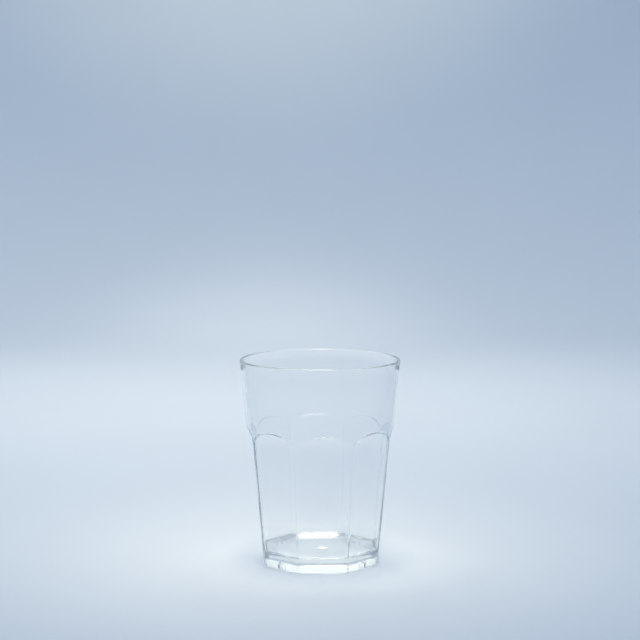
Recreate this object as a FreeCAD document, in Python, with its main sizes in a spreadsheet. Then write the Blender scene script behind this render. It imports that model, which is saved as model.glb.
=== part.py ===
import FreeCAD, Part
import math
import os
import Sketcher
from FreeCAD import Placement, Rotation, Vector

# Clear plastic drinking tumbler, moulded in one piece.
# The outside is a cone that widens to the rim. Its lower part has flat panels all round: each one
# is cut straight up, curves outwards near its top and runs out through the cone in an arch.
# Narrow strips of the cone stay between the panels as the arrises of the cup.
# The inside follows the outside at the wall's thickness, and the floor stands on a panelled foot.
# Every second panel has a small drain notch in the foot, so the cup dries when it stands upside down.
# Z is up, the origin is in the middle of the foot, and one panel faces +X.

DIMENSIONS = [
    ("rimDiameter", 85.0, "outer diameter of the cone at the rim"),
    ("footDiameter", 64.2, "outer diameter of the cone at the foot"),
    ("cupHeight", 108.0, "foot to rim"),
    ("panelCount", 8, "flat panels round the cup"),
    ("arrisWidthFoot", 2.4, "strip of cone left between two panels at the foot"),
    ("arrisWidthCove", 1.2, "the same strip where the panels start to curve outwards"),
    ("arrisWidthInside", 1.0, "strip of cone left between two panels inside the cup"),
    ("arrisRadius", 2.0, "rounding of the panels' edges"),
    ("coveStart", 65.3, "height at which the panels start to curve outwards"),
    ("coveRadius", 12.0, "radius of that curve"),
    ("wallThickness", 1.8, "wall of the cup, measured level"),
    ("rimRadius", 0.7, "rounding of the rim's two edges"),
    ("floorTop", 7.3, "height of the floor inside the cup"),
    ("floorThickness", 3.3, "floor of the cup"),
    ("floorRadius", 1.5, "rounding between the floor and the wall"),
    ("footWall", 1.2, "wall of the foot under the floor"),
    ("recessRadius", 0.5, "rounding in the corner of the recess under the floor"),
    ("footRadius", 0.4, "rounding of the foot's two lower edges"),
    ("notchWidth", 4.5, "drain notch in the foot, one on every second panel"),
    ("notchHeight", 2.6, "height of the notch"),
    ("notchCorner", 0.9, "rounding of the notch's upper corners"),
    ("gateDiameter", 4.5, "round gate mark under the floor"),
    ("gateHeight", 0.35, "how far the gate mark stands out"),
]

TINY = 0.001


def makeSheet(doc):
    sheet = doc.addObject("Spreadsheet::Sheet", "Dimensions")
    for row, (alias, value, meaning) in enumerate(DIMENSIONS, start=1):
        sheet.set("A%d" % row, meaning)
        sheet.set("B%d" % row, str(value))
        sheet.setAlias("B%d" % row, alias)
    doc.recompute()
    return sheet


def coneRadius(height):
    # radius of the outer cone at a height, as an expression
    slope = "(Dimensions.rimDiameter - Dimensions.footDiameter) / 2 / Dimensions.cupHeight"
    return "(Dimensions.footDiameter / 2 + (%s) * %s)" % (height, slope)


def panelDistance(radius, strip):
    # distance of a panel from the axis that leaves a strip of that width on a cone of that radius
    return "%s * cos(180 / Dimensions.panelCount - 90 * %s / pi / %s)" % (radius, strip, radius)


def addSketch(body, name, role):
    sketch = body.newObject("Sketcher::SketchObject", name)
    plane = [feature for feature in body.Origin.OriginFeatures if feature.Role == role][0]
    sketch.AttachmentSupport = [(plane, "")]
    sketch.MapMode = "FlatFace"
    return sketch


def bindSize(sketch, name, expression, kind, *places):
    # a named dimension of the sketch, driven by the sheet
    value = float(sketch.evalExpression(expression))
    index = sketch.addConstraint(Sketcher.Constraint(kind, *places, value))
    sketch.renameConstraint(index, name)
    sketch.setExpression("Constraints." + name, expression)


def addCone(body, bottom, top, inset):
    # the cone between two heights, turned so that its seam runs up the middle of an arris
    sketch = addSketch(body, body.Label + "_cone_profile", "XZ_Plane")
    sketch.AttachmentOffset = Placement(Vector(), Rotation(Vector(0, 1, 0), 1))
    sketch.setExpression("AttachmentOffset.Rotation.Angle", "180 / Dimensions.panelCount")
    lowRadius = "%s - %s" % (coneRadius(bottom), inset)
    highRadius = "%s - %s" % (coneRadius(top), inset)
    low = float(sketch.evalExpression(bottom))
    high = float(sketch.evalExpression(top))
    corners = [
        Vector(0, low, 0),
        Vector(float(sketch.evalExpression(lowRadius)), low, 0),
        Vector(float(sketch.evalExpression(highRadius)), high, 0),
        Vector(0, high, 0),
    ]
    for index, corner in enumerate(corners):
        sketch.addGeometry(Part.LineSegment(corner, corners[(index + 1) % 4]), False)
    for index in range(4):
        sketch.addConstraint(Sketcher.Constraint("Coincident", index, 2, (index + 1) % 4, 1))
    sketch.addConstraint(Sketcher.Constraint("Horizontal", 0))
    sketch.addConstraint(Sketcher.Constraint("Horizontal", 2))
    sketch.addConstraint(Sketcher.Constraint("Vertical", 3))
    if low > TINY:
        sketch.addConstraint(Sketcher.Constraint("PointOnObject", 0, 1, -2))
        bindSize(sketch, "bottomHeight", bottom, "DistanceY", -1, 1, 0, 1)
    else:
        sketch.addConstraint(Sketcher.Constraint("Coincident", 0, 1, -1, 1))
    bindSize(sketch, "topHeight", top, "DistanceY", -1, 1, 2, 2)
    bindSize(sketch, "bottomRadius", lowRadius, "DistanceX", 0, 1, 0, 2)
    bindSize(sketch, "topRadius", highRadius, "DistanceX", 2, 2, 2, 1)
    cone = body.newObject("PartDesign::Revolution", body.Label + "_cone")
    cone.Profile = sketch
    cone.ReferenceAxis = (sketch, ["V_Axis"])
    cone.Angle = 360
    body.Document.recompute()
    return cone


def addPanels(body, inset, stripFoot, stripCove):
    # what lies outside one panel: a straight line, then an arc tangent to it, out past the rim
    sketch = addSketch(body, body.Label + "_panel_profile", "XZ_Plane")
    height = "Dimensions.coveStart"
    footRadius = "(%s - %s)" % (coneRadius("0"), inset)
    coveConeRadius = "(%s - %s)" % (coneRadius(height), inset)
    distanceFoot = panelDistance(footRadius, stripFoot)
    distanceCove = panelDistance(coveConeRadius, stripCove)
    arcRadius = "Dimensions.coveRadius + %s" % inset
    reach = "Dimensions.rimDiameter / 2 + Dimensions.wallThickness"

    foot = Vector(float(sketch.evalExpression(distanceFoot)), 0, 0)
    start = Vector(float(sketch.evalExpression(distanceCove)), float(sketch.evalExpression(height)), 0)
    radius = float(sketch.evalExpression(arcRadius))
    outside = float(sketch.evalExpression(reach))
    along = (start - foot).normalize()
    centre = start + Vector(along.y, -along.x, 0) * radius
    rise = (radius ** 2 - (centre.x - outside) ** 2) ** 0.5
    end = Vector(outside, centre.y + rise, 0)
    middle = centre + (start + end - centre * 2).normalize() * radius

    sketch.addGeometry(Part.LineSegment(foot, start), False)
    sketch.addGeometry(Part.Arc(end, middle, start), False)
    sketch.addGeometry(Part.LineSegment(end, Vector(outside, 0, 0)), False)
    sketch.addGeometry(Part.LineSegment(Vector(outside, 0, 0), foot), False)
    arcStart, arcEnd = 2, 1
    if (sketch.Geometry[1].StartPoint - end).Length < TINY:
        arcStart, arcEnd = 1, 2
    sketch.addConstraint(Sketcher.Constraint("Tangent", 0, 2, 1, arcEnd))
    sketch.addConstraint(Sketcher.Constraint("Coincident", 1, arcStart, 2, 1))
    sketch.addConstraint(Sketcher.Constraint("Coincident", 2, 2, 3, 1))
    sketch.addConstraint(Sketcher.Constraint("Coincident", 3, 2, 0, 1))
    sketch.addConstraint(Sketcher.Constraint("Vertical", 2))
    sketch.addConstraint(Sketcher.Constraint("PointOnObject", 3, 1, -1))
    sketch.addConstraint(Sketcher.Constraint("PointOnObject", 0, 1, -1))
    bindSize(sketch, "distanceFoot", distanceFoot, "DistanceX", -1, 1, 0, 1)
    bindSize(sketch, "distanceCove", distanceCove, "DistanceX", -1, 1, 0, 2)
    bindSize(sketch, "coveStart", height, "DistanceY", -1, 1, 0, 2)
    bindSize(sketch, "coveRadius", arcRadius, "Radius", 1)
    bindSize(sketch, "reach", reach, "DistanceX", -1, 1, 2, 1)

    panel = body.newObject("PartDesign::Pocket", body.Label + "_panel")
    panel.Profile = sketch
    panel.Type = "Length"
    panel.Midplane = True
    panel.setExpression("Length", "2 * Dimensions.rimDiameter")
    body.Document.recompute()

    pattern = body.newObject("PartDesign::PolarPattern", body.Label + "_panels")
    pattern.Originals = [panel]
    pattern.Axis = (sketch, ["V_Axis"])
    pattern.Angle = 360
    pattern.setExpression("Occurrences", "Dimensions.panelCount")
    body.Tip = pattern
    body.Document.recompute()
    return pattern


def isLevel(surface):
    return isinstance(surface, Part.Plane) and abs(surface.Axis.z) > 1 - TINY


def arrisEdges(shape):
    # the edges where a panel or its curved top meets the cone
    names = []
    for number, edge in enumerate(shape.Edges, start=1):
        surfaces = [face.Surface for face in shape.ancestorsOfType(edge, Part.Face)]
        cones = [surface for surface in surfaces if isinstance(surface, Part.Cone)]
        panels = [surface for surface in surfaces if not isinstance(surface, Part.Cone)]
        if cones and panels and not isLevel(panels[0]):
            names.append("Edge%d" % number)
    return names


def levelEdges(shape, height):
    # the edges that lie flat at one height
    names = []
    for number, edge in enumerate(shape.Edges, start=1):
        box = edge.BoundBox
        if abs(box.ZMin - height) < 0.01 and abs(box.ZMax - height) < 0.01:
            names.append("Edge%d" % number)
    return names


def addFillet(body, name, edges, radius):
    base = body.Tip
    fillet = body.newObject("PartDesign::Fillet", name)
    fillet.Base = (base, edges)
    fillet.setExpression("Radius", radius)
    body.Tip = fillet
    body.Document.recompute()
    return fillet


def panelledBody(doc, label, bottom, top, inset, stripFoot, stripCove):
    # a cone between two heights with its panels cut and their edges rounded
    body = doc.addObject("PartDesign::Body", label)
    body.Label = label
    cone = addCone(body, bottom, top, inset)
    panels = addPanels(body, inset, stripFoot, stripCove)
    assert panels.Shape.Volume < cone.Shape.Volume, label + ": the panels cut nothing"
    addFillet(body, label + "_arrises", arrisEdges(panels.Shape), "Dimensions.arrisRadius")
    return body


def addNotches(body, sheet):
    # a slot through the foot with rounded upper corners, facing the panel next to the one on +X
    sketch = addSketch(body, "notch_profile", "YZ_Plane")
    sketch.AttachmentOffset = Placement(Vector(), Rotation(Vector(0, 1, 0), 1))
    sketch.setExpression("AttachmentOffset.Rotation.Angle", "360 / Dimensions.panelCount")
    half = sheet.notchWidth / 2
    corner = sheet.notchCorner
    below = sheet.footRadius
    upright = sheet.notchHeight - corner
    quarter = math.pi / 2
    up = Vector(0, 0, 1)
    rightCircle = Part.Circle(Vector(half - corner, upright, 0), up, corner)
    leftCircle = Part.Circle(Vector(corner - half, upright, 0), up, corner)
    sketch.addGeometry(Part.LineSegment(Vector(-half, -below, 0), Vector(half, -below, 0)), False)
    sketch.addGeometry(Part.LineSegment(Vector(half, -below, 0), Vector(half, upright, 0)), False)
    sketch.addGeometry(Part.ArcOfCircle(rightCircle, 0, quarter), False)
    sketch.addGeometry(Part.LineSegment(Vector(half - corner, sheet.notchHeight, 0),
                                        Vector(corner - half, sheet.notchHeight, 0)), False)
    sketch.addGeometry(Part.ArcOfCircle(leftCircle, quarter, 2 * quarter), False)
    sketch.addGeometry(Part.LineSegment(Vector(-half, upright, 0), Vector(-half, -below, 0)), False)
    sketch.addConstraint(Sketcher.Constraint("Coincident", 0, 2, 1, 1))
    sketch.addConstraint(Sketcher.Constraint("Tangent", 1, 2, 2, 1))
    sketch.addConstraint(Sketcher.Constraint("Tangent", 2, 2, 3, 1))
    sketch.addConstraint(Sketcher.Constraint("Tangent", 3, 2, 4, 1))
    sketch.addConstraint(Sketcher.Constraint("Tangent", 4, 2, 5, 1))
    sketch.addConstraint(Sketcher.Constraint("Coincident", 5, 2, 0, 1))
    sketch.addConstraint(Sketcher.Constraint("Equal", 2, 4))
    sketch.addConstraint(Sketcher.Constraint("Horizontal", 3))
    sketch.addConstraint(Sketcher.Constraint("Vertical", 1))
    sketch.addConstraint(Sketcher.Constraint("Vertical", 5))
    sketch.addConstraint(Sketcher.Constraint("Symmetric", 0, 1, 0, 2, -2))
    bindSize(sketch, "notchWidth", "Dimensions.notchWidth", "DistanceX", 0, 1, 0, 2)
    bindSize(sketch, "notchHeight", "Dimensions.notchHeight", "DistanceY", -1, 1, 3, 1)
    bindSize(sketch, "notchCorner", "Dimensions.notchCorner", "Radius", 2)
    bindSize(sketch, "below", "Dimensions.footRadius", "DistanceY", 0, 2, -1, 1)

    notch = body.newObject("PartDesign::Pocket", "notch")
    notch.Profile = sketch
    notch.Type = "Length"
    notch.Reversed = True
    notch.setExpression("Length", "Dimensions.footDiameter")
    body.Document.recompute()

    pattern = body.newObject("PartDesign::PolarPattern", "notches")
    pattern.Originals = [notch]
    pattern.Axis = (sketch, ["V_Axis"])
    pattern.Angle = 360
    pattern.setExpression("Occurrences", "floor(Dimensions.panelCount / 2)")
    body.Tip = pattern
    body.Document.recompute()
    return pattern


def addGateMark(body, sheet):
    # a low round disc in the middle of the recess's ceiling
    sketch = addSketch(body, "gate_circle", "XY_Plane")
    sketch.setExpression("AttachmentOffset.Base.z", "Dimensions.floorTop - Dimensions.floorThickness")
    sketch.addGeometry(Part.Circle(Vector(), Vector(0, 0, 1), sheet.gateDiameter / 2), False)
    sketch.addConstraint(Sketcher.Constraint("Coincident", 0, 3, -1, 1))
    bindSize(sketch, "gateDiameter", "Dimensions.gateDiameter", "Diameter", 0)
    mark = body.newObject("PartDesign::Pad", "gate_mark")
    mark.Profile = sketch
    mark.Reversed = True
    mark.setExpression("Length", "Dimensions.gateHeight")
    body.Tip = mark
    body.Document.recompute()
    return mark


def makeTumbler(doc, sheet):
    recessTop = "Dimensions.floorTop - Dimensions.floorThickness"
    tumbler = panelledBody(doc, "tumbler", "0", "Dimensions.cupHeight", "0",
                           "Dimensions.arrisWidthFoot", "Dimensions.arrisWidthCove")
    inside = panelledBody(doc, "inside", "Dimensions.floorTop", "Dimensions.cupHeight",
                          "Dimensions.wallThickness",
                          "Dimensions.arrisWidthInside", "Dimensions.arrisWidthInside")
    addFillet(inside, "inside_floor_edge", levelEdges(inside.Shape, sheet.floorTop), "Dimensions.floorRadius")
    recess = panelledBody(doc, "recess", "0", recessTop, "Dimensions.footWall",
                          "Dimensions.arrisWidthInside", "Dimensions.arrisWidthInside")
    addFillet(recess, "recess_ceiling_edge", levelEdges(recess.Shape, sheet.floorTop - sheet.floorThickness),
              "Dimensions.recessRadius")

    solidVolume = tumbler.Shape.Volume
    hollow = tumbler.newObject("PartDesign::Boolean", "hollow")
    hollow.Type = "Cut"
    hollow.setObjects([inside, recess])
    tumbler.Tip = hollow
    doc.recompute()
    assert hollow.Shape.Volume < 0.5 * solidVolume, "the cup isn't hollow"

    addFillet(tumbler, "rim_edges", levelEdges(tumbler.Shape, sheet.cupHeight), "Dimensions.rimRadius")
    addFillet(tumbler, "foot_edges", levelEdges(tumbler.Shape, 0), "Dimensions.footRadius")
    plainVolume = tumbler.Shape.Volume
    addNotches(tumbler, sheet)
    notchedVolume = tumbler.Shape.Volume
    assert notchedVolume < plainVolume, "the notches cut nothing"
    addGateMark(tumbler, sheet)
    assert tumbler.Shape.Volume > notchedVolume, "the gate mark adds nothing"
    return tumbler


def checkDocument(doc, parts):
    for item in doc.Objects:
        if "Invalid" in item.State or "Error" in item.State:
            raise RuntimeError("%s didn't compute: %s" % (item.Name, item.State))
    for part in parts:
        shape = part.Shape
        if shape.isNull() or not shape.isValid() or len(shape.Solids) != 1:
            raise RuntimeError("%s isn't one valid solid" % part.Label)


def main():
    doc = FreeCAD.newDocument("Tumbler")
    sheet = makeSheet(doc)
    tumbler = makeTumbler(doc, sheet)
    parts = [tumbler]
    checkDocument(doc, parts)
    os.makedirs("parts", exist_ok=True)
    for part in parts:
        part.Shape.exportStep("parts/%s.step" % part.Label)
        box = part.Shape.optimalBoundingBox(False, False)
        print("%s: %.1f x %.1f x %.1f mm, %.0f mm3" % (
            part.Label, box.XLength, box.YLength, box.ZLength, part.Shape.Volume))


main()
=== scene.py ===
import math
import bpy
import numpy as np
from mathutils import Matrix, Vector


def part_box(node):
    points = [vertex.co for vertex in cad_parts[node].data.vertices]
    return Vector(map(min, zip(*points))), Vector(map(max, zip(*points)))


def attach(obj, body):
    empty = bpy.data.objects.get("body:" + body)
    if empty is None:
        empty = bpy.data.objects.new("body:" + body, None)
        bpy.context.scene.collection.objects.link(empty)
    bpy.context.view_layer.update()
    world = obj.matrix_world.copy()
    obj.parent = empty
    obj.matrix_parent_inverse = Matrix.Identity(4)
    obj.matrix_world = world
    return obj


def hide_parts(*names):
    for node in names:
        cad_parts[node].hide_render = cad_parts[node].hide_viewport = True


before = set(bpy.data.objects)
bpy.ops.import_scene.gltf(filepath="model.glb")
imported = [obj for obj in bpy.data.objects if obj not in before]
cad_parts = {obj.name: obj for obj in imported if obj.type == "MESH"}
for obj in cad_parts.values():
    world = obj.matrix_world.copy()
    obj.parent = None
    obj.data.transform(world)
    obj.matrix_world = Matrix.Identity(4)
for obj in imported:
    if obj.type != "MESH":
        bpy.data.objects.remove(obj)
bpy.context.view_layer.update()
print("frame loaded:", sorted(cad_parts))

mm = 0.001  # every size below is in millimetres, and meshes are made in metres


# the cup: one closed wall, from the middle of the underside, round the foot and the rim, to the floor's middle

cup = {
    "panels": 8,  # flat panels round the lower part
    "footRadius": 32.1,  # cone at the foot
    "arrisFoot": 2.4,  # strip of cone between two panels, at the foot
    "arrisCove": 1.2,  # the same where the panels start to flare
    "arrisInside": 1.0,  # the same inside the cup
    "arrisBlend": 0.12,  # softness of the edges between panels and cone
    "sharpAngle": 50,  # degrees above which an edge is shaded sharp
    "coveStart": 65.3,  # height where the panels start to flare
    "coveRadius": 12.0,
    "wall": 1.8,
    "lip": 0.7,  # rounding of the rim
    "floorTop": 7.3,
    "floorThickness": 3.3,
    "floorFillet": 1.5,
    "footWall": 1.2,  # wall of the foot under the floor
    "recessFillet": 0.5,
    "footEdge": 0.4,
    "gateRadius": 2.25,
    "gateHeight": 0.35,
    "gateSection": ((-1.85, 1), (-1.45, 1), (-0.3, 1), (-0.1, 0.92), (0, 0.7), (0.02, 0.3), (0.08, 0.08),
                    (0.25, 0)),  # distance from the gate mark's edge, and share of its height
    "notchWidth": 4.5,  # drain notches in the foot, on every second panel
    "notchHeight": 2.6,
    "notchCorner": 0.9,
    "notchSide": 0.08,  # width over which a notch's side rises
    "notchReach": 5.0,  # height up to which the notches bend the rows of the mesh
}

grid = {  # the cup's mesh: columns in degrees from a panel's middle, rows as counts or shares of the way
    "panelColumns": (0, 18.6, 15),
    "arrisColumns": (19.2, 21.8, 10),
    "lastColumn": 22.1,
    "notchMargin": 0.3,  # first column beside a notch
    "notchInside": 1.4,  # and in it, in corner radii from its side
    "ceilingShares": (0.1, 0.35, 0.7),
    "footShares": (0.34, 0.67),
    "floorShares": (0.7, 0.4, 0.12),
    "recessRows": 6,
    "edgeRows": 5,
    "notchRows": 6,
    "panelRows": 9,
    "coveRows": 48,
    "coveMargin": 1.5,  # the cove's close rows begin this far below it
    "crownTop": 74.5,  # and end here, above the arches
    "bandRows": 7,
    "roundRows": 8,
}
cupLow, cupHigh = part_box("tumbler")
cup["height"] = (cupHigh.z - cupLow.z) / mm
lean = (cupHigh.x / mm - cup["footRadius"]) / cup["height"]
cup["rimRadius"] = cupHigh.x / mm + lean * cup["lip"]


def coneRadius(z):
    # straight line from the foot's radius to the rim's radius
    return cup["footRadius"] + (cup["rimRadius"] - cup["footRadius"]) * z / cup["height"]


def panelDistance(z, inset, stripFoot, stripCove):
    # distance of a panel from the axis: a straight line that leaves the wanted strips of cone,
    # and above the cove's start an arc tangent to it, x = centre - sqrt(radius^2 - rise^2)
    halfTurn = math.pi / cup["panels"]
    footCone = coneRadius(0) - inset
    coveCone = coneRadius(cup["coveStart"]) - inset
    atFoot = footCone * math.cos(halfTurn - stripFoot / 2 / footCone)
    atCove = coveCone * math.cos(halfTurn - stripCove / 2 / coveCone)
    slope = (atCove - atFoot) / cup["coveStart"]
    tilt = math.atan(slope)
    radius = cup["coveRadius"] + inset
    centreX = atCove + radius * math.cos(tilt)
    centreZ = cup["coveStart"] - radius * math.sin(tilt)
    rise = np.clip(z - centreZ, 0, radius)
    arc = centreX - np.sqrt(radius ** 2 - rise ** 2)
    return np.where(z > cup["coveStart"], arc, atFoot + slope * z)


def softMin(a, b, width):
    # the smaller of two values, with a parabola across the last bit where they meet
    near = np.maximum(width - np.abs(a - b), 0) / width
    return np.minimum(a, b) - near ** 2 * width / 4


def wallRadius(z, phi, inset, strips, offset=0.0):
    # radius at a height and at an angle from the panel's middle: cone or panel, whichever is nearer
    cone = coneRadius(z) - inset - offset
    panel = (panelDistance(z, inset, *strips) - offset) / np.cos(phi)
    return softMin(cone, panel, cup["arrisBlend"])


def notchRise(phi):
    # height of the foot's lower edge: 0, or the notch's top with rounded corners and steep sides
    across = np.abs(np.tan(phi)) * coneRadius(0) * math.cos(math.pi / cup["panels"])
    half, corner = cup["notchWidth"] / 2, cup["notchCorner"]
    into = np.clip(across - (half - corner), 0, corner)
    top = cup["notchHeight"] - corner + np.sqrt(corner ** 2 - into ** 2)
    side = np.clip((half + cup["notchSide"] - across) / cup["notchSide"], 0, 1)
    return top * side


def cupAngles():
    # columns of the grid: every sector has close columns at its arrises, notched ones at their notch too,
    # whose angle is arctan(distance across the panel / distance from the axis)
    halfSector = 180 / cup["panels"]
    plain = np.concatenate([np.linspace(*grid["panelColumns"]), np.linspace(*grid["arrisColumns"]),
                            [grid["lastColumn"]]])
    radius = coneRadius(0) * math.cos(math.pi / cup["panels"])
    half, corner = cup["notchWidth"] / 2, cup["notchCorner"]
    steps = np.array([half - corner, half - corner / 2, half - corner / 6, half, half + cup["notchSide"]])
    steps = np.concatenate([steps, [half + grid["notchMargin"], half - grid["notchInside"] * corner]])
    extra = np.degrees(np.arctan(steps / radius))
    angles, offsets, notched = [], [], []
    for sector in range(cup["panels"]):
        hasNotch = sector % 2 == 1
        side = np.unique(np.concatenate([plain, extra])) if hasNotch else plain
        phi = np.radians(np.concatenate([-side[:0:-1], side, [halfSector]]))
        angles.append(phi + sector * 2 * math.pi / cup["panels"])
        offsets.append(phi)
        notched.append(np.full(len(phi), hasNotch))
    return np.concatenate(angles), np.concatenate(offsets), np.concatenate(notched)


def cupRows(phi, lift):
    # the wall's section as rows of (radius, height), each row one loop round the cup; a rounding's rows are
    # at (centre + radius x cosine, centre + radius x sine) of a turn in equal steps
    outer = (0.0, (cup["arrisFoot"], cup["arrisCove"]))
    inner = (cup["wall"], (cup["arrisInside"], cup["arrisInside"]))
    under = (cup["footWall"], (cup["arrisInside"], cup["arrisInside"]))
    ceiling = cup["floorTop"] - cup["floorThickness"]
    whole = np.ones_like(phi)
    rows = []

    gate, gateHeight = cup["gateRadius"], cup["gateHeight"]
    for aside, drop in cup["gateSection"]:
        rows.append(((gate + aside) * whole, (ceiling - drop * gateHeight) * whole))
    fillet = cup["recessFillet"]
    edgeOfGate = rows[-1][0]
    edgeOfCeiling = wallRadius(ceiling - fillet, phi, *under, fillet)
    for share in grid["ceilingShares"]:
        rows.append((edgeOfGate * (1 - share) + edgeOfCeiling * share, ceiling * whole))
    for turn in np.linspace(0, math.pi / 2, grid["recessRows"]):
        rows.append((wallRadius(ceiling - fillet, phi, *under, fillet * (1 - math.sin(turn))),
                     (ceiling - fillet * (1 - math.cos(turn))) * whole))
    edge = cup["footEdge"]
    for share in grid["footShares"]:
        z = (ceiling - fillet) * (1 - share) + (lift + edge) * share
        rows.append((wallRadius(z, phi, *under), z))
    for turn in np.linspace(0, math.pi / 2, grid["edgeRows"]):
        rows.append((wallRadius(0, phi, *under) + edge * (1 - math.cos(turn)),
                     lift + edge * (1 - math.sin(turn))))
    for turn in np.linspace(0, math.pi / 2, grid["edgeRows"]):
        rows.append((wallRadius(0, phi, *outer) - edge * (1 - math.sin(turn)),
                     lift + edge * (1 - math.cos(turn))))

    lip, height = cup["lip"], cup["height"]
    tilt = math.atan((cup["rimRadius"] - cup["footRadius"]) / height)
    reach = cup["notchReach"]
    low, high = cup["coveStart"] - grid["coveMargin"], grid["crownTop"]
    climb = np.concatenate([np.linspace(edge, reach, grid["notchRows"])[1:],
                            np.linspace(reach, low, grid["panelRows"])[1:],
                            np.linspace(low, high, grid["coveRows"])[1:],
                            np.linspace(high, height - lip * (1 + math.sin(tilt)), grid["bandRows"])[1:]])
    for base in climb:
        z = base + lift * np.clip((reach - base) / (reach - edge), 0, 1)
        rows.append((wallRadius(z, phi, *outer), z))
    outerCentre = coneRadius(height - lip) - lip / math.cos(tilt)
    for turn in np.linspace(-tilt, math.pi / 2, grid["roundRows"])[1:]:
        rows.append(((outerCentre + lip * math.cos(turn)) * whole,
                     (height - lip + lip * math.sin(turn)) * whole))
    innerCentre = coneRadius(height - lip) - cup["wall"] + lip / math.cos(tilt)
    for turn in np.linspace(math.pi / 2, math.pi - tilt, grid["roundRows"]):
        rows.append(((innerCentre + lip * math.cos(turn)) * whole,
                     (height - lip + lip * math.sin(turn)) * whole))
    floorTop, fillet = cup["floorTop"], cup["floorFillet"]
    descend = np.concatenate([np.linspace(height - lip, high, grid["bandRows"])[1:],
                              np.linspace(high, low, grid["coveRows"])[1:],
                              np.linspace(low, floorTop + fillet, grid["roundRows"])[1:]])
    for z in descend:
        rows.append((wallRadius(z, phi, *inner), z * whole))
    for turn in np.linspace(0, math.pi / 2, grid["roundRows"])[1:]:
        rows.append((wallRadius(floorTop + fillet, phi, *inner, fillet * (1 - math.cos(turn))),
                     (floorTop + fillet * (1 - math.sin(turn))) * whole))
    edgeOfFloor = rows[-1][0]
    for share in grid["floorShares"]:
        rows.append((edgeOfFloor * share, floorTop * whole))
    bottomPole = ceiling - gateHeight
    return np.array([row[0] for row in rows]), np.array([row[1] for row in rows]), bottomPole, floorTop


def closedSurface(name, x, y, z, lowPole, highPole):
    # a grid of rows by columns, closed round its columns, with one point at each end: point (row, column)
    # has number row x columns + column, and a face takes four neighbours
    rowCount, columns = x.shape
    points = np.concatenate([
        np.stack([x.ravel(), y.ravel(), z.ravel()], axis=1), [[0, 0, lowPole]], [[0, 0, highPole]]]) * mm
    row, column = np.meshgrid(np.arange(rowCount - 1), np.arange(columns), indexing="ij")
    a = row * columns + column
    b = row * columns + (column + 1) % columns
    quads = np.stack([a, b, b + columns, a + columns], axis=-1).reshape(-1, 4)
    ring = np.arange(columns)
    nextRing = (ring + 1) % columns
    last = (rowCount - 1) * columns
    lowFan = np.stack([np.full(columns, rowCount * columns), nextRing, ring], axis=1)
    highFan = np.stack([np.full(columns, rowCount * columns + 1), last + ring, last + nextRing], axis=1)
    faces = quads.tolist() + lowFan.tolist() + highFan.tolist()
    mesh = bpy.data.meshes.new(name)
    mesh.from_pydata(points.tolist(), [], faces)
    mesh.update()
    mesh.shade_smooth()
    mesh.set_sharp_from_angle(angle=math.radians(cup["sharpAngle"]))
    return mesh


def addObject(name, mesh, material):
    # a mesh in the scene, at the origin, with its material
    piece = bpy.data.objects.new(name, mesh)
    bpy.context.scene.collection.objects.link(piece)
    mesh.materials.append(material)
    return piece


plastic = {
    "clear": (1.0, 1.0, 1.0, 1),
    "streak": (0.985, 0.99, 0.99, 1),  # faint flow marks that run up the wall from the gate
    "streakScale": 45.0,  # patches of noise per metre
    "streakStretch": 0.22,  # below 1 the patches are drawn out along the height
    "ior": 1.55,
    "polish": (0.0, 0.02),  # roughness of the polished faces, least and most
    "polishScale": 260.0,
    "scuffScale": 700.0,
    "scuffs": (0.066, 0.22),  # roughness of the scuffed foot and gate mark, least and most
    "scuffTop": 0.7,  # height up to which the foot is scuffed
    "gateMargin": 0.1,  # the gate mark is told from the floor above it by this much
    "waveScale": 55.0,  # slow unevenness of the moulded faces
    "waveStretch": 0.6,
    "waveHeight": 0.009,
    "depthTint": (0.8, 0.83, 0.8, 1),  # colour of light that has come a long way through the wall
    "depthDensity": 6.0,
}


patches = {  # soft noise that every material uses
    "detail": 3.0,
    "middle": (0.32, 0.68),  # range of the noise that is spread from low to high
}


def addNode(tree, kind, **settings):
    # a shader node of a kind, with its settings
    node = tree.nodes.new("ShaderNode" + kind)
    for name, value in settings.items():
        setattr(node, name, value)
    return node


def makeMottle():
    # soft patches: noise at (x, y, stretch x z), times a scale per metre, whose middle range is spread
    # in a straight line from Low to High
    group = bpy.data.node_groups.new("mottle", "ShaderNodeTree")
    group.interface.new_socket("Coordinates", in_out="INPUT", socket_type="NodeSocketVector")
    for name, value in (("Scale", 50.0), ("Stretch", 1.0), ("Low", 0.0), ("High", 1.0)):
        socket = group.interface.new_socket(name, in_out="INPUT", socket_type="NodeSocketFloat")
        socket.default_value = value
    group.interface.new_socket("Value", in_out="OUTPUT", socket_type="NodeSocketFloat")
    given = group.nodes.new("NodeGroupInput")
    result = group.nodes.new("NodeGroupOutput")
    factors = addNode(group, "CombineXYZ")
    factors.inputs["X"].default_value = 1.0
    factors.inputs["Y"].default_value = 1.0
    drawn = addNode(group, "VectorMath", operation="MULTIPLY")
    noise = addNode(group, "TexNoise")
    noise.inputs["Detail"].default_value = patches["detail"]
    spread = addNode(group, "MapRange")
    spread.inputs["From Min"].default_value, spread.inputs["From Max"].default_value = patches["middle"]
    link = group.links.new
    link(given.outputs["Stretch"], factors.inputs["Z"])
    link(given.outputs["Coordinates"], drawn.inputs[0])
    link(factors.outputs[0], drawn.inputs[1])
    link(drawn.outputs[0], noise.inputs["Vector"])
    link(given.outputs["Scale"], noise.inputs["Scale"])
    link(noise.outputs["Fac"], spread.inputs["Value"])
    link(given.outputs["Low"], spread.inputs["To Min"])
    link(given.outputs["High"], spread.inputs["To Max"])
    link(spread.outputs["Result"], result.inputs["Value"])
    return group


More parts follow.
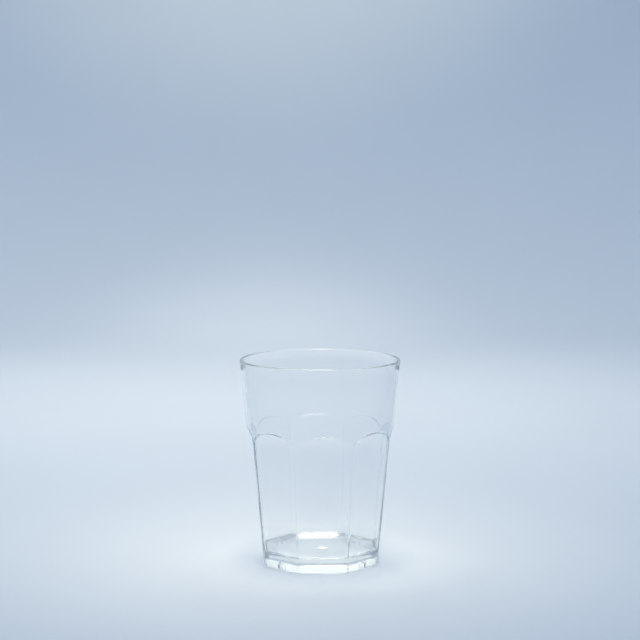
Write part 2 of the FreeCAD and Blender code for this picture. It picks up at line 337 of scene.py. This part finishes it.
def placeMottle(tree, group, coordinates, scale, stretch=1.0, low=0.0, high=1.0):
    # the soft patches in one material, with its own scale and range
    placed = addNode(tree, "Group", node_tree=group)
    for name, value in (("Scale", scale), ("Stretch", stretch), ("Low", low), ("High", high)):
        placed.inputs[name].default_value = value
    tree.links.new(coordinates, placed.inputs["Coordinates"])
    return placed.outputs["Value"]


def addMath(tree, operation, first, second):
    # one operation on two numbers or sockets, such as first x second
    node = addNode(tree, "Math", operation=operation)
    for socket, value in zip(node.inputs, (first, second)):
        if isinstance(value, (int, float)):
            socket.default_value = value
        else:
            tree.links.new(value, socket)
    return node.outputs[0]


def clearPlastic(mottle):
    # clear moulded plastic: faint flow marks in its colour, fine haze in its polish, slow waves from the
    # mould, scuffs where the foot stands and on the gate mark (x squared + y squared less than its radius
    # squared), and a grey tint along the wall's depth
    material = bpy.data.materials.new("clearPlastic")
    material.use_nodes = True
    tree = material.node_tree
    shader, output = tree.nodes["Principled BSDF"], tree.nodes["Material Output"]
    link = tree.links.new
    shader.inputs["Transmission Weight"].default_value = 1.0
    shader.inputs["IOR"].default_value = plastic["ior"]
    place = addNode(tree, "TexCoord").outputs["Object"]

    flow = placeMottle(tree, mottle, place, plastic["streakScale"], plastic["streakStretch"])
    colour = addNode(tree, "Mix", data_type="RGBA")
    colour.inputs["A"].default_value = plastic["clear"]
    colour.inputs["B"].default_value = plastic["streak"]
    link(flow, colour.inputs["Factor"])
    link(colour.outputs["Result"], shader.inputs["Base Color"])

    split = addNode(tree, "SeparateXYZ")
    link(place, split.inputs[0])
    height = split.outputs["Z"]
    low = addMath(tree, "LESS_THAN", height, plastic["scuffTop"] * mm)
    across = addMath(tree, "POWER", split.outputs["X"], 2)
    along = addMath(tree, "POWER", split.outputs["Y"], 2)
    squares = addMath(tree, "ADD", across, along)
    onGate = addMath(tree, "LESS_THAN", squares, (cup["gateRadius"] * mm) ** 2)
    ceiling = cup["floorTop"] - cup["floorThickness"]
    underFloor = addMath(tree, "LESS_THAN", height, (ceiling + plastic["gateMargin"]) * mm)
    gate = addMath(tree, "MULTIPLY", onGate, underFloor)
    worn = addMath(tree, "MAXIMUM", low, gate)
    scuffs = placeMottle(tree, mottle, place, plastic["scuffScale"], 1.0, *plastic["scuffs"])
    polish = placeMottle(tree, mottle, place, plastic["polishScale"], 1.0, *plastic["polish"])
    link(addMath(tree, "ADD", addMath(tree, "MULTIPLY", worn, scuffs), polish), shader.inputs["Roughness"])

    waves = placeMottle(tree, mottle, place, plastic["waveScale"], plastic["waveStretch"])
    bump = addNode(tree, "Bump")
    bump.inputs["Strength"].default_value = 1.0
    bump.inputs["Distance"].default_value = plastic["waveHeight"] * mm
    link(waves, bump.inputs["Height"])
    link(bump.outputs["Normal"], shader.inputs["Normal"])

    depth = addNode(tree, "VolumeAbsorption")
    depth.inputs["Color"].default_value = plastic["depthTint"]
    depth.inputs["Density"].default_value = plastic["depthDensity"]
    link(depth.outputs["Volume"], output.inputs["Volume"])
    return material


def makeCup(mottle):
    # the section's rows turned about the axis: x = radius x cosine, y = radius x sine of the column's angle
    angles, phi, notched = cupAngles()
    lift = np.where(notched, notchRise(phi), 0.0)
    radius, z, lowPole, highPole = cupRows(phi, lift)
    x, y = radius * np.cos(angles), radius * np.sin(angles)
    mesh = closedSurface("tumblerShell", x, y, z, lowPole, highPole)
    piece = addObject("tumblerShell", mesh, clearPlastic(mottle))
    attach(piece, "root")
    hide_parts("tumbler")
    print("cup:", len(mesh.vertices), "points", len(mesh.polygons), "faces")


# the stage: pale floor that sweeps up into a backdrop all round

stage = {
    "rings": (0, 100, 300, 600),  # radii of the flat part's rows
    "flatRadius": 950.0,
    "sweepRadius": 600.0,
    "wallTop": 2200.0,
    "columns": 128,
    "sweepRows": 24,
    "colour": (0.775, 0.815, 0.855, 1),
    "paler": (0.785, 0.825, 0.865, 1),
    "patchScale": 9.0,  # soft patches of noise per metre
    "grainScale": 900.0,  # fine tooth of the sheet
    "grainHeight": 0.02,
    "roughness": (0.85, 0.95),
    "specular": 0.1,
}


def stageMaterial(mottle):
    # matt sheet with a fine tooth and hardly visible patches
    material = bpy.data.materials.new("paleSweep")
    material.use_nodes = True
    tree = material.node_tree
    shader = tree.nodes["Principled BSDF"]
    link = tree.links.new
    shader.inputs["Specular IOR Level"].default_value = stage["specular"]
    place = addNode(tree, "TexCoord").outputs["Object"]
    colour = addNode(tree, "Mix", data_type="RGBA")
    colour.inputs["A"].default_value = stage["colour"]
    colour.inputs["B"].default_value = stage["paler"]
    link(placeMottle(tree, mottle, place, stage["patchScale"]), colour.inputs["Factor"])
    link(colour.outputs["Result"], shader.inputs["Base Color"])
    tooth = placeMottle(tree, mottle, place, stage["patchScale"], 1.0, *stage["roughness"])
    link(tooth, shader.inputs["Roughness"])
    bump = addNode(tree, "Bump")
    bump.inputs["Strength"].default_value = 1.0
    bump.inputs["Distance"].default_value = stage["grainHeight"] * mm
    link(placeMottle(tree, mottle, place, stage["grainScale"]), bump.inputs["Height"])
    link(bump.outputs["Normal"], shader.inputs["Normal"])
    return material


def makeStage(mottle):
    # a dish turned about the axis: flat, then a quarter circle, at flat + sweep x sine from the axis and
    # sweep x (1 - cosine) high, then straight up
    flat, sweep = stage["flatRadius"], stage["sweepRadius"]
    turn = np.linspace(0, math.pi / 2, stage["sweepRows"])
    radius = np.concatenate([stage["rings"], flat + sweep * np.sin(turn), [flat + sweep]])
    z = np.concatenate([np.zeros(len(stage["rings"])), sweep * (1 - np.cos(turn)), [stage["wallTop"]]])
    angle = np.linspace(0, 2 * math.pi, stage["columns"], endpoint=False)
    x = radius[:, None] * np.cos(angle)
    y = radius[:, None] * np.sin(angle)
    points = np.stack([x, y, np.repeat(z[:, None], len(angle), axis=1)], axis=-1).reshape(-1, 3) * mm
    row, column = np.meshgrid(np.arange(len(radius) - 1), np.arange(len(angle)), indexing="ij")
    a = row * len(angle) + column
    b = row * len(angle) + (column + 1) % len(angle)
    faces = np.stack([a, a + len(angle), b + len(angle), b], axis=-1).reshape(-1, 4)
    mesh = bpy.data.meshes.new("sweep")
    mesh.from_pydata(points.tolist(), [], faces.tolist())
    mesh.shade_smooth()
    floor = addObject("sweep", mesh, stageMaterial(mottle))
    print("stage:", len(mesh.polygons), "faces")


lighting = {
    "skyColour": (0.565, 0.737, 1.0, 1),
    "skyStrength": 0.82,
    "softboxes": {  # place, aim, sides in metres, power in watts, colour
        "behind": ((-0.06, 0.5, 0.65), (-0.06, 0.5, 0), (0.6, 0.6), 3.03, (1, 0.93, 0.756)),
    },
    "spots": {  # place, aim, full angle in degrees, radius in metres, power in watts, colour
        "overhead": ((-0.03, 0, 0.85), (-0.03, 0, 0), 32, 0.15, 7.3, (1, 0.895, 0.668)),
        "pool": ((-0.01, 0, 0.85), (-0.01, 0, 0), 20, 0.1, 4.6, (1, 0.9, 0.6)),
        "foot": ((0.06, -0.32, 0.8), (0.01, -0.01, 0), 8.5, 0.03, 5.1, (1, 0.93, 0.74)),
        "distance": ((-0.01, 0.98, 0.8), (0, 1.05, 0), 34, 0.1, 3.6, (1, 0.92, 0.75)),
        "backdrop": ((0, 0.2, 1.0), (0, 1.5, 0.9), 60, 0.06, 26.6, (1, 0.955, 0.688)),
    },
}


def addLamp(name, light, place, aim):
    # a lamp at a place, turned so that its -z axis runs along aim - place
    lamp = bpy.data.objects.new(name, light)
    bpy.context.scene.collection.objects.link(lamp)
    lamp.location = place
    lamp.rotation_euler = (Vector(aim) - Vector(place)).to_track_quat("-Z", "Y").to_euler()


def makeLights():
    # an even sky, and the lamps of the dictionary
    world = bpy.data.worlds.new("studio")
    bpy.context.scene.world = world
    world.use_nodes = True
    background = world.node_tree.nodes["Background"]
    background.inputs["Color"].default_value = lighting["skyColour"]
    background.inputs["Strength"].default_value = lighting["skyStrength"]
    for name, (place, aim, sides, power, colour) in lighting["softboxes"].items():
        light = bpy.data.lights.new(name, "AREA")
        light.shape = "RECTANGLE"
        light.size, light.size_y = sides
        light.energy, light.color = power, colour
        addLamp(name, light, place, aim)
    for name, (place, aim, angle, radius, power, colour) in lighting["spots"].items():
        light = bpy.data.lights.new(name, "SPOT")
        light.spot_size = math.radians(angle)
        light.spot_blend = 1.0
        light.shadow_soft_size = radius
        light.energy, light.color = power, colour
        addLamp(name, light, place, aim)
    print("lights:", len(lighting["softboxes"]) + len(lighting["spots"]))


# the camera: the photograph's place, height and lens

view = {
    "distance": 858.3,  # level distance from the cup's axis
    "height": 223.6,
    "turn": 3.0,  # degrees that the camera stands clockwise of the middle of the front panel
    "pitch": 6.3175,  # degrees that it looks down
    "focal": 1639.07,  # focal length in pixels of the photograph
    "width": 640,
    "sensor": 36.0,
    "clipEnd": 20.0,  # metres
    "bounces": 128,  # with fewer, the rim and the upright edges turn black
}


def makeCamera():
    # lens = sensor x focal length in pixels / picture's width; place = (-distance x sine, -distance x cosine)
    # of its turn
    camera = bpy.data.cameras.new("camera")
    camera.sensor_width = view["sensor"]
    camera.lens = camera.sensor_width * view["focal"] / view["width"]
    camera.clip_end = view["clipEnd"]
    holder = bpy.data.objects.new("camera", camera)
    bpy.context.scene.collection.objects.link(holder)
    turn = math.radians(view["turn"])
    holder.location = (-view["distance"] * math.sin(turn) * mm, -view["distance"] * math.cos(turn) * mm,
                       view["height"] * mm)
    holder.rotation_euler = (math.radians(90 - view["pitch"]), 0, -turn)
    bpy.context.scene.camera = holder


def setLightPaths():
    # light is reflected many times inside the clear walls before it leaves them
    paths = bpy.context.scene.cycles
    paths.max_bounces = view["bounces"]
    paths.transmission_bounces = view["bounces"]
    paths.glossy_bounces = view["bounces"]
    paths.blur_glossy = 0


mottle = makeMottle()
makeCup(mottle)
makeStage(mottle)
makeLights()
makeCamera()
setLightPaths()
bpy.context.scene.view_settings.view_transform = "Standard"
print("scene made")
